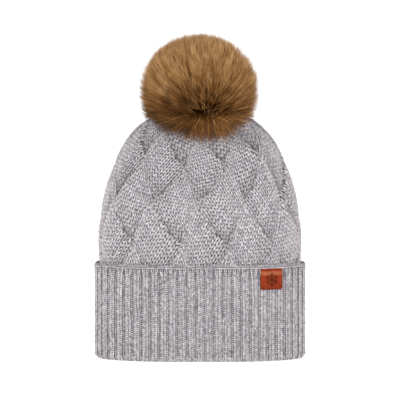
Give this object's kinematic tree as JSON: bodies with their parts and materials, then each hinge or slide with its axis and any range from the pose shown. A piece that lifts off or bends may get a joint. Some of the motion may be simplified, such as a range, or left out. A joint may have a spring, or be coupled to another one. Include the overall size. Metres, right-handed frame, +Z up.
{
  "type": "pom pom beanie",
  "caption": "Knitted beanie with a basket weave cable crown, turned-up ribbed cuff, leather tab and a detachable fur pom.",
  "frame": {"origin": "centre of the footprint of the folded rim", "axes": "+Z up to the pom, front of the hat faces -Y, +X to the wearer's left (the label's side)"},
  "size_m": [0.2117, 0.1228, 0.3255],
  "materials": {
    "knit_yarn": "soft light grey marled yarn",
    "felt": "pressed wool felt",
    "snap_metal": "nickel plated, satin",
    "fur_backing": "woven backing",
    "stuffing": "loose polyester fill",
    "thread": "twisted sewing thread",
    "faux_fur": "long golden brown pile",
    "leather": "tanned, embossed, slightly waxy",
    "label_thread": "waxed sewing thread",
    "care_satin": "woven satin ribbon"
  },
  "bodies": {
    "hat": {"crown_knit": "knit_yarn", "inner_rib_band": "knit_yarn", "turned_up_cuff": "knit_yarn", "centre_back_seam": "knit_yarn", "crown_gathering_yarn": "knit_yarn", "leather_label": "leather", "label_stitches": "label_thread", "care_label": "care_satin", "care_label_stitches": "thread"},
    "snap_base": {"felt_washer": "felt", "snap_cap": "snap_metal", "snap_stud": "snap_metal"},
    "snap_clip": {"snap_socket": "snap_metal"},
    "pom": {"snap_eyelet": "snap_metal", "pom_backing": "fur_backing", "pom_stuffing": "stuffing", "pom_gathering_thread": "thread", "fur_pile": "faux_fur"}
  },
  "joints": [
    {"name": "pom_nod", "type": "hinge", "parent": "hat", "child": "snap_base", "pos_m": [0, 0, 0.2387], "axis": [1, 0, 0], "range_deg": [-8, 8], "stiffness_Nm_per_rad": 0.6},
    {"name": "pom_pull_off", "type": "slide", "parent": "snap_base", "child": "snap_clip", "axis": [0, 0, 1], "range_m": [0, 0.05]},
    {"name": "pom_swivel", "type": "hinge", "parent": "snap_clip", "child": "pom", "pos_m": [0, 0, 0.2487], "axis": [0, 0, 1], "continuous": true}
  ]
}
